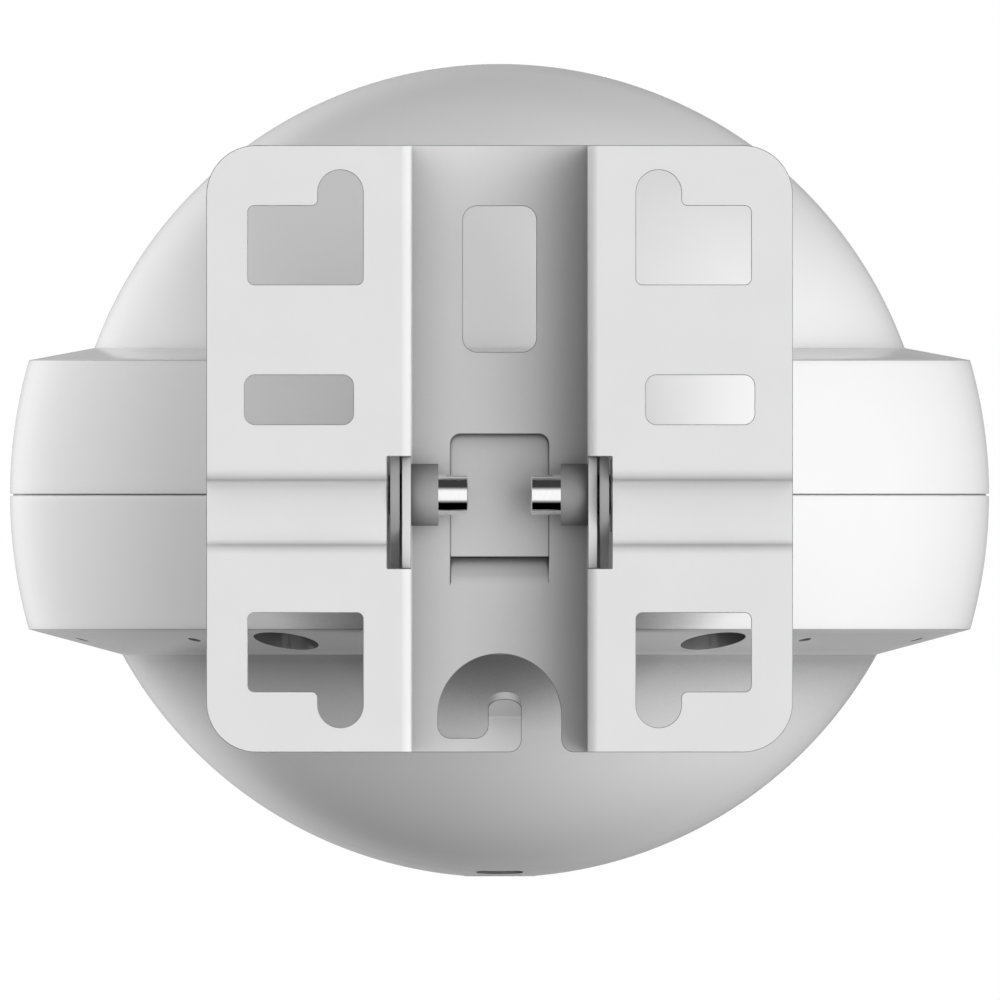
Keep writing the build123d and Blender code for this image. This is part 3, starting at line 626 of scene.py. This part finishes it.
def above_lower_ledge():
    """All that lies above the lower ledge, from half way through the shell's wall."""
    slope = math.tan(math.radians(LOWER_LEDGE))
    edge_radius = radius_at(BELT_RADIUS, BELT_HALF)
    top = ENTRY_TOP + LEDGE_SPARE
    low_corners = [(reach, SHELL_WALL / 2 - BELT_HALF - (edge_radius - reach) * slope)
                   for reach in (edge_radius, LEDGE_INNER)]
    return turned([(0, top), (edge_radius, top), *low_corners, (0, low_corners[-1][1])],
                  SHELL_SIDES // 2, BALL)


def ring_spots(circle, bearings):
    """Places on a level circle round the ball's axis; 0 degrees is straight to the wall."""
    return [(circle * math.sin(math.radians(turn)),
             BALL.y - circle * math.cos(math.radians(turn))) for turn in bearings]


ENTRY_SPOTS = ring_spots(ENTRY_CIRCLE, ENTRY_BEARINGS)
SCREW_SPOTS = ring_spots(SCREW_CIRCLE, SCREW_BEARINGS)


def slot_block(width, height, low, high):
    """Upright bar with round ends, at the status window."""
    mesh = bmesh.new()
    half = width / 2 - height / 2
    y = BALL.y - LENS_BACK
    start = mesh.verts.new((half, y - height / 2, low))

    def round_end(point, x):
        """Half a turn about the bar's end, and the vertex it comes to."""
        chain = bmesh.ops.spin(mesh, geom=[point], cent=(x, y, low), axis=(0, 0, 1),
                               angle=math.pi, steps=ROUND_END_STEPS)
        return [v for v in chain["geom_last"] if isinstance(v, bmesh.types.BMVert)][0]

    grown = bmesh.ops.extrude_vert_indiv(mesh, verts=[round_end(start, half)])
    far = grown["verts"][0]
    far.co.x = -half
    mesh.edges.new((round_end(far, -half), start))
    bmesh.ops.contextual_create(mesh, geom=mesh.edges[:])
    raised = bmesh.ops.extrude_face_region(mesh, geom=mesh.faces[:])
    top = [v for v in raised["geom"] if isinstance(v, bmesh.types.BMVert)]
    bmesh.ops.translate(mesh, verts=top, vec=(0, 0, high - low))
    tidy_solid(mesh)
    return mesh


def finish_shell(mesh, name, node_name):
    """A shell with painted shade in a darker tone along the rounded edge of its belt."""
    for face in mesh.faces:
        middle = face.calc_center_median()
        reach = (middle.xy - BALL.xy).length
        if (reach > SHADED_EDGE_REACH and abs(middle.z) > BELT_HALF - SHADED_EDGE_BAND
                and SHADED_EDGE_TILT[0] < abs(face.normal.z) < SHADED_EDGE_TILT[1]):
            # the belt's rounded edge gets the painted shade
            face.material_index = 1
    piece = finish_piece(mesh, name, "head", [node_name], "shell_white", SHELL_CREASE)
    piece.data.materials.append(FINISHES["painted_belt_edge_shade"])


def make_lower_shell():
    """Lower shell with its two cable entries, screw holes, vent seat and lens slot."""
    tubes = gather([rod(ENTRY_RADIUS + ENTRY_WALL, ENTRY_FOOT, ENTRY_TOP, spot, ROUND_SIDES)
                    for spot in ENTRY_SPOTS])
    tubes = combine(tubes, above_lower_ledge(), "INTERSECT")
    mesh = combine(shell_solid(-1), tubes, "UNION")
    bores = [rod(ENTRY_RADIUS, WELL_BELOW, ENTRY_TOP + CUT_SPARE, spot, ROUND_SIDES)
             for spot in ENTRY_SPOTS]
    bores += [rod(SCREW_HOLE, WELL_BELOW, SCREW_HOLE_TOP, spot, HOLE_SIDES)
              for spot in SCREW_SPOTS]
    vent_seat = rod(VENT_SEAT_RADIUS, LOWEST - CUT_SPARE, LOWEST + VENT_SEAT_HEIGHT, BALL.xy,
                    ROUND_SIDES)
    lens_slot = slot_block(*LENS_SLOT, LOWEST - CUT_SPARE, LENS_SLOT_TOP)
    for cut in (gather(bores), vent_seat, lens_slot):
        mesh = combine(mesh, cut, "DIFFERENCE")
    finish_shell(mesh, "lower_shell_skin", "lower_shell")


finish_shell(shell_solid(1), "upper_shell_skin", "upper_shell")
make_lower_shell()


# ---------------------------------------------------------------------------
# Bracket, yoke and saddle
# ---------------------------------------------------------------------------

SHEET_EDGE = 0.17 * MM
SADDLE_EDGE = 0.4 * MM


def solid_copy(node_name):
    """A merged copy of a CAD node's mesh, with its flat faces joined up."""
    mesh = bmesh.new()
    mesh.from_mesh(nodes[node_name].data)
    bmesh.ops.remove_doubles(mesh, verts=mesh.verts, dist=CAD_WELD)
    bmesh.ops.dissolve_limit(mesh, angle_limit=math.radians(FLAT_WITHIN), verts=mesh.verts,
                             edges=mesh.edges, delimit=set())
    return mesh


def make_edged(node_name, piece_name, body, edge, edge_shade_finish=None):
    """A sheet-metal or cast piece with its edges slightly broken under the paint.

    The broken edges can take a darker finish of their own, which paints shade along them.
    """
    piece = finish_piece(solid_copy(node_name), piece_name, body, [node_name],
                         SLOT_OF[node_name])
    bevel = piece.modifiers.new("soft_edges", "BEVEL")
    bevel.limit_method = "ANGLE"
    bevel.angle_limit = math.radians(SHARP)
    bevel.width = edge
    bevel.segments = 2
    bevel.miter_outer = "MITER_ARC"
    bevel.use_clamp_overlap = False
    bevel.harden_normals = True
    # painted shade along the broken edges
    if edge_shade_finish:
        piece.data.materials.append(FINISHES[edge_shade_finish])
        bevel.material = 1
    # the large faces decide the shading where they meet small ones
    weighted = piece.modifiers.new("even_normals", "WEIGHTED_NORMAL")
    weighted.keep_sharp = True
    weighted.weight = 100


make_edged("wall_bracket", "folded_bracket", "bracket", SHEET_EDGE, "painted_edge_shade")
make_edged("tilt_yoke", "folded_yoke", "head", SHEET_EDGE, "painted_edge_shade")
make_edged("arm_saddle", "saddle_block", "head", SADDLE_EDGE)


# ---------------------------------------------------------------------------
# Tilt pivot
# ---------------------------------------------------------------------------

NUT_BORE = 4.85 * MM
BOLT_RADIUS = 4.8 * MM
BOLT_CHAMFER = 0.2 * MM
BOLT_HEAD_HEIGHT = 5.5 * MM
BOLT_HEAD_ROUND = 1.4 * MM
BOLT_HEAD_SHOULDER = 0.4 * MM
BOLT_SOCKET_RADIUS = 4.3 * MM
BOLT_SOCKET_CHAMFER = 0.3 * MM
BOLT_SOCKET_DEPTH = 3.5 * MM
WASHER_THICKNESS = 1.6 * MM
WASHER_BORE = 5 * MM
WASHER_RADIUS = 9 * MM
NUT_EDGE = 0.08 * MM            # how far each part's edges are rounded
BOLT_EDGE = 0.06 * MM
WASHER_EDGE = 0.18 * MM


def turned_on_pivot(corners, side, edge):
    """A turned part laid along the tilt axis, pointing out to one side.

    Corners are (distance from the axis, distance along it).
    """
    mesh = turned(corners, ROUND_SIDES)
    soften(mesh, edge)
    turn = Matrix.Rotation(math.radians(90 * side), 4, "Y")
    bmesh.ops.transform(mesh, matrix=Matrix.Translation(PIVOT) @ turn, verts=mesh.verts)
    return mesh


def reach_along(name):
    """How far along the tilt axis a part starts and ends, and its radius."""
    low, high = node_box(name)
    start, end = sorted((abs(low.x), abs(high.x)))
    return start, end, (high.z - low.z) / 2


def tube_corners(bore, radius, start, end):
    return [(bore, start), (radius, start), (radius, end), (bore, end)]


def make_pivot(side, word):
    """Weld nut and bolt on one side."""
    start, end, radius = reach_along("pivot_nut_" + word)
    mesh = turned_on_pivot(tube_corners(NUT_BORE, radius, start, end), side, NUT_EDGE)
    finish_piece(mesh, "weld_nut_" + word, "bracket", ["pivot_nut_" + word], "nut_grey")
    tip, head_end, head_radius = reach_along("tilt_bolt_" + word)
    head_start = head_end - BOLT_HEAD_HEIGHT
    corners = [(0, tip), (BOLT_RADIUS - BOLT_CHAMFER, tip), (BOLT_RADIUS, tip + BOLT_CHAMFER),
               (BOLT_RADIUS, head_start), (head_radius, head_start),
               (head_radius, head_end - BOLT_HEAD_ROUND),
               (head_radius - BOLT_HEAD_SHOULDER, head_end - BOLT_HEAD_SHOULDER),
               (head_radius - BOLT_HEAD_ROUND, head_end),
               (BOLT_SOCKET_RADIUS + BOLT_SOCKET_CHAMFER, head_end),
               (BOLT_SOCKET_RADIUS, head_end - BOLT_SOCKET_CHAMFER),
               (BOLT_SOCKET_RADIUS, head_end - BOLT_SOCKET_DEPTH),
               (0, head_end - BOLT_SOCKET_DEPTH)]
    mesh = turned_on_pivot(corners, side, BOLT_EDGE)
    finish_piece(mesh, "bright_bolt_" + word, "bracket", ["tilt_bolt_" + word], "bright_bolt")


def make_washers():
    outer = node_box("tilt_washers")[1].x
    corners = tube_corners(WASHER_BORE, WASHER_RADIUS, outer - WASHER_THICKNESS, outer)
    mesh = gather([turned_on_pivot(corners, side, WASHER_EDGE) for side in (-1, 1)])
    finish_piece(mesh, "pivot_washers", "bracket", ["tilt_washers"], "zinc_steel")


make_pivot(-1, "left")
make_pivot(1, "right")
make_washers()


# ---------------------------------------------------------------------------
# Screws
# ---------------------------------------------------------------------------

ARM_SCREW_X = 16 * MM
ARM_SCREW_Z = 12 * MM
ARM_SCREW_SIDES = 48
ARM_SCREW_RADIUS = 2 * MM
ARM_SCREW_HEAD = 3.8 * MM
ARM_SCREW_RIM = (0.05 * MM, 0.2 * MM)   # how far the head's rim draws in, and its height
ARM_SCREW_SOCKET = 2.5 * MM
ARM_SCREW_SOCKET_DEPTH = 1.6 * MM
SHELL_SCREW_SIDES = 24
SHELL_SCREW_RADIUS = 1.5 * MM
SHELL_SCREW_SOCKET = 1.5 * MM
SHELL_SCREW_SOCKET_DEPTH = 1.5 * MM
SHELL_SCREW_CHAMFER = 0.2 * MM
SCREW_TIP = 0.5 * MM                    # chamfer at a screw's far end
SCREW_EDGE = 0.08 * MM                  # rounding of the edges that turn by more degrees
SCREW_SHARP = 50                        # than this
SOCKET_SPARE = 1 * MM                   # how far a socket's cutter stands out of the head


def make_arm_screws():
    """Four countersunk screws with hex sockets, driven in from the wall side."""
    low, high = node_box("arm_screws")
    length = high.y - low.y
    rim_inset, rim_height = ARM_SCREW_RIM
    corners = [(0, 0), (ARM_SCREW_HEAD, 0), (ARM_SCREW_HEAD - rim_inset, -rim_height),
               (ARM_SCREW_RADIUS, ARM_SCREW_RADIUS - ARM_SCREW_HEAD),
               (ARM_SCREW_RADIUS, SCREW_TIP - length), (ARM_SCREW_RADIUS - SCREW_TIP, -length),
               (0, -length)]
    screws = []
    for x in (-ARM_SCREW_X, ARM_SCREW_X):
        for z in (-ARM_SCREW_Z, ARM_SCREW_Z):
            socket = hex_rod(ARM_SCREW_SOCKET, -ARM_SCREW_SOCKET_DEPTH, SOCKET_SPARE)
            screw = combine(turned(corners, ARM_SCREW_SIDES), socket, "DIFFERENCE")
            soften(screw, SCREW_EDGE, SCREW_SHARP)
            turn = Matrix.Rotation(math.radians(90), 4, "X")
            bmesh.ops.transform(screw, verts=screw.verts,
                                matrix=Matrix.Translation((x, low.y, z)) @ turn)
            screws.append(screw)
    finish_piece(gather(screws), "saddle_screws", "head", ["arm_screws"], "zinc_steel")


def make_shell_screws():
    """Eight long screws up through the lower shell, with sockets in their heads."""
    low, high = node_box("shell_screws")
    radius = SHELL_SCREW_RADIUS
    corners = [(0, low.z), (radius - SHELL_SCREW_CHAMFER, low.z),
               (radius, low.z + SHELL_SCREW_CHAMFER), (radius, high.z - SCREW_TIP),
               (radius - SCREW_TIP, high.z), (0, high.z)]
    screws = []
    for spot in SCREW_SPOTS:
        socket = hex_rod(SHELL_SCREW_SOCKET, low.z - SOCKET_SPARE,
                         low.z + SHELL_SCREW_SOCKET_DEPTH, spot)
        screw = turned(corners, SHELL_SCREW_SIDES, Vector((*spot, 0)))
        screws.append(combine(screw, socket, "DIFFERENCE"))
    finish_piece(gather(screws), "shell_screw_set", "head", ["shell_screws"], "zinc_steel")


# ---------------------------------------------------------------------------
# Vent and status lens
# ---------------------------------------------------------------------------

VENT_STEM = 4.9 * MM
VENT_HUB = (1.9 * MM, 2.2 * MM)         # top and foot of the slope round the sunk hub
VENT_HUB_DEPTH = 0.3 * MM
VENT_GROOVE = (6.5 * MM, 6.7 * MM, 7.2 * MM, 7.4 * MM)
VENT_GROOVE_DEPTH = 0.35 * MM
VENT_RIM_ROUND = 0.25 * MM
VENT_SLOT = (2.8 * MM, 0.8 * MM, 1.2 * MM)
VENT_SLOT_CIRCLE = 4.4 * MM
VENT_SLOT_TURN = 45
LENS_WINDOW = (11.3 * MM, 4.8 * MM)
LENS_FLANGE = (14.5 * MM, 8.0 * MM)
LENS_FLANGE_THICKNESS = 1.5 * MM
LENS_WINDOW_EDGE = 0.3 * MM
LENS_FLANGE_EDGE = 0.2 * MM


def make_vent():
    """Pressure vent: a shallow cap with a ring groove and a star of breathing slots."""
    low, high = node_box("vent_cap")
    rim, face = high.x, low.z
    hub, floor = face + VENT_HUB_DEPTH, face + VENT_GROOVE_DEPTH
    seat = LOWEST + VENT_SEAT_HEIGHT
    groove_in, floor_in, floor_out, groove_out = VENT_GROOVE
    axis = Vector((0, BALL.y, 0))
    outline = Outline((0, hub), axis)
    for spot in ((VENT_HUB[0], hub), (VENT_HUB[1], face), (groove_in, face),
                 (floor_in, floor), (floor_out, floor), (groove_out, face),
                 (rim - VENT_RIM_ROUND, face)):
        outline.line(spot)
    outline.arc((rim, face + VENT_RIM_ROUND), (rim - VENT_RIM_ROUND, face + VENT_RIM_ROUND),
                steps=4)
    for spot in ((rim, seat), (VENT_STEM, seat), (VENT_STEM, high.z), (0, high.z)):
        outline.line(spot)
    slots = []
    for turn in range(0, 360, VENT_SLOT_TURN):
        slot = block(VENT_SLOT, (VENT_SLOT_CIRCLE, 0, face))
        bmesh.ops.rotate(slot, verts=slot.verts,
                         matrix=Matrix.Rotation(math.radians(turn), 3, "Z"))
        bmesh.ops.translate(slot, verts=slot.verts, vec=axis)
        slots.append(slot)
    mesh = combine(outline.spin(ROUND_SIDES), gather(slots), "DIFFERENCE")
    finish_piece(mesh, "vent_button", "head", ["vent_cap"], "vent_grey")


def make_lens():
    """Smoked status window with its flange inside the shell."""
    low, high = node_box("status_lens")
    flange = high.z - LENS_FLANGE_THICKNESS
    window = slot_block(*LENS_WINDOW, low.z, flange)
    soften(window, LENS_WINDOW_EDGE)
    plate = slot_block(*LENS_FLANGE, flange, high.z)
    soften(plate, LENS_FLANGE_EDGE)
    mesh = combine(window, plate, "UNION")
    finish_piece(mesh, "status_window", "head", ["status_lens"], "lens_smoke", SHELL_CREASE)


# ---------------------------------------------------------------------------
# Jacks in the cable entries
# ---------------------------------------------------------------------------

JACK_FLANGE = 4 * MM
JACK_STEP = 0.5 * MM                    # the body is this much smaller above its flange
JACK_TOP_CHAMFER = 1 * MM
JACK_EDGE = 0.15 * MM
JACK_OPENINGS = (                       # width, breadth and offset away from the wall:
    (11.8 * MM, 8.2 * MM, 0),           # socket
    (6.2 * MM, 1.6 * MM, 4.8 * MM),     # seat of the plug's latch
    (3.4 * MM, 1.4 * MM, 6.0 * MM),     # and its keyway
)
JACK_OPENING_HEIGHT = 20 * MM           # half of it stands below the jack's face
SPRING = (0.4 * MM, 0.3 * MM, 8.5 * MM)
SPRING_COUNT = 8
SPRING_PITCH = 1.02 * MM
SPRING_SLANT = 14
SPRING_EDGE = 0.08 * MM
SPRING_PLACE = (-2.6 * MM, 5.6 * MM)    # away from the jack's middle, above its face


def make_jack(word):
    """Round jack body with a keyed socket and its row of contact springs."""
    node_name = "ethernet_jack_" + word
    low, high = node_box(node_name)
    middle = (low + high) / 2
    radius = (high.x - low.x) / 2
    inner = radius - JACK_STEP
    mesh = turned([(0, low.z), (radius, low.z), (radius, low.z + JACK_FLANGE),
                   (inner, low.z + JACK_FLANGE), (inner, high.z - JACK_TOP_CHAMFER),
                   (inner - JACK_TOP_CHAMFER, high.z), (0, high.z)],
                  ROUND_SIDES, Vector((middle.x, middle.y, 0)))
    soften(mesh, JACK_EDGE)
    for width, breadth, offset in JACK_OPENINGS:
        opening = block((width, breadth, JACK_OPENING_HEIGHT),
                        (middle.x, middle.y + offset, low.z))
        mesh = combine(mesh, opening, "DIFFERENCE")
    finish_piece(mesh, "jack_body_" + word, "head", [node_name], "jack_black")
    springs = []
    for step in range(SPRING_COUNT):
        spring = block(SPRING)
        bmesh.ops.rotate(spring, verts=spring.verts,
                         matrix=Matrix.Rotation(math.radians(SPRING_SLANT), 3, "X"))
        bmesh.ops.translate(spring, verts=spring.verts,
                            vec=(middle.x + (step - (SPRING_COUNT - 1) / 2) * SPRING_PITCH,
                                 middle.y + SPRING_PLACE[0], low.z + SPRING_PLACE[1]))
        springs.append(spring)
    mesh = gather(springs)
    soften(mesh, SPRING_EDGE)
    finish_piece(mesh, "jack_springs_" + word, "head", [], "tin_plate")


make_arm_screws()
make_shell_screws()
make_vent()
make_lens()
make_jack("left")
make_jack("right")


# ---------------------------------------------------------------------------
# Backdrop, floor and lights
# ---------------------------------------------------------------------------

# Each box is its bearing, rise and reach in degrees, and its strength. A ring's fades
# are the heights, -1 to 1, between which it grows from below and goes at the top.
LIGHT_BASE = 0.42
LIGHT_BOXES = (
    (46, 0, 50, 2.7),
    (-108, 33, 61, 1.5),
    (113, -50, 63, 1.0),
    (180, 0, 80, 0.4),
    (-115, -42, 50, 0.5),
)
LIGHT_FADES = (-0.9, -0.18, 0.5, 0.94)
WALL_BASE = 0.15
WALL_BOXES = (
    (-5, 0, 100, 0.85),
    (-130, 0, 55, 1.1),
    (180, 10, 60, 0.2),
)
WALL_FADES = (-0.77, -0.41, 0.36, 0.74)
CEILING = 0.045

FLOOR_SIZE = 3
FLOOR_HEIGHT = -0.22
FLOOR_TONE = 0.8
FLOOR_GLOW = 0.4


class Surroundings(NodeTree):
    """The world's light, built up from broad soft boxes round the object."""

    def __init__(self, name):
        world = bpy.data.worlds.new(name)
        bpy.context.scene.world = world
        world.use_nodes = True
        world.cycles.sampling_method = "NONE"
        super().__init__(world.node_tree)
        self.tree.nodes.clear()
        self.way = self.node("ShaderNodeTexCoord").outputs["Generated"]
        split = self.node("ShaderNodeSeparateXYZ")
        self.feed(split.inputs["Vector"], self.way)
        self.height = split.outputs["Z"]

    def ease(self, source, start, end, low, high):
        """Soft step from low to high between two values of a socket."""
        return self.map_range(source, start, end, low, high, "SMOOTHSTEP")

    def soft_box(self, bearing, rise, reach, strength):
        """Light from one direction, gone at an angle from its middle.

        Bearings turn from the wall side, 0, towards +x, 90.
        """
        turn, lift = math.radians(bearing), math.radians(rise)
        aim = self.node("ShaderNodeVectorMath")
        aim.operation = "DOT_PRODUCT"
        aim.inputs[1].default_value = (math.sin(turn) * math.cos(lift),
                                       -math.cos(turn) * math.cos(lift), math.sin(lift))
        self.feed(aim.inputs[0], self.way)
        return self.ease(aim.outputs["Value"], math.cos(math.radians(reach)), 1.0,
                         0.0, strength)

    def ring(self, base, boxes, fades):
        """Soft boxes on an even base, in a ring that fades upwards and downwards."""
        rise_from, rise_to, fall_from, fall_to = fades
        light = base
        for box in boxes:
            light = self.maths("ADD", self.soft_box(*box), light)
        light = self.maths("MULTIPLY", self.ease(self.height, rise_from, rise_to, 0.0, 1.0),
                           light)
        return self.maths("MULTIPLY", self.ease(self.height, fall_from, fall_to, 1.0, 0.0),
                          light)

    def background(self, strength):
        shine = self.node("ShaderNodeBackground", Color=(1, 1, 1, 1))
        self.feed(shine.inputs["Strength"], strength)
        return shine.outputs["Background"]

    def choose(self, factor, plain, chosen):
        mix = self.node("ShaderNodeMixShader")
        for socket, value in zip(mix.inputs, (factor, plain, chosen)):
            self.feed(socket, value)
        return mix.outputs["Shader"]


def make_world():
    """Soft boxes that light the object, a white wall round it, and a dark ceiling.

    The camera sees plain white. Gloss and glass see the white wall with its clear upper
    and lower edges, which gives metal its bands.
    """
    studio = Surroundings("studio")
    lights = studio.ring(LIGHT_BASE, LIGHT_BOXES, LIGHT_FADES)
    wall = studio.ring(WALL_BASE, WALL_BOXES, WALL_FADES)
    ceiling = studio.ease(studio.height, *WALL_FADES[2:], 0.0, CEILING)
    rays = studio.node("ShaderNodeLightPath").outputs
    mirrored = studio.maths("MAXIMUM", rays["Is Glossy Ray"], rays["Is Transmission Ray"])
    shown = studio.choose(mirrored, studio.background(lights),
                          studio.background(studio.maths("ADD", wall, ceiling)))
    shown = studio.choose(rays["Is Camera Ray"], shown, studio.background(1.0))
    studio.feed(studio.node("ShaderNodeOutputWorld").inputs["Surface"], shown)


def make_floor():
    """Pale floor under the object, with the object's shadow on it, clear from below.

    Its glow only lifts its own tone towards the white behind it: the object's light
    doesn't see the floor.
    """
    mesh = bmesh.new()
    bmesh.ops.create_grid(mesh, x_segments=1, y_segments=1, size=FLOOR_SIZE)
    bmesh.ops.translate(mesh, verts=mesh.verts, vec=(0, 0, FLOOR_HEIGHT))
    floor = new_object("floor", mesh)
    finish = Finish("pale_floor", 0.9)
    finish.shader.inputs["Base Color"].default_value = (*grey(FLOOR_TONE), 1)
    finish.shader.inputs["Emission Color"].default_value = (1, 1, 1, 1)
    finish.shader.inputs["Emission Strength"].default_value = FLOOR_GLOW
    pane = finish.node("ShaderNodeMixShader")
    for socket, value in zip(pane.inputs, (
            finish.node("ShaderNodeNewGeometry").outputs["Backfacing"],
            finish.shader.outputs["BSDF"],
            finish.node("ShaderNodeBsdfTransparent").outputs["BSDF"])):
        finish.feed(socket, value)
    finish.feed(finish.tree.nodes["Material Output"].inputs["Surface"], pane.outputs["Shader"])
    floor.data.materials.append(finish.material)
    floor.visible_diffuse = False
    floor.visible_glossy = False
    floor.visible_shadow = False


make_world()
make_floor()
bpy.context.scene.view_settings.view_transform = "Standard"
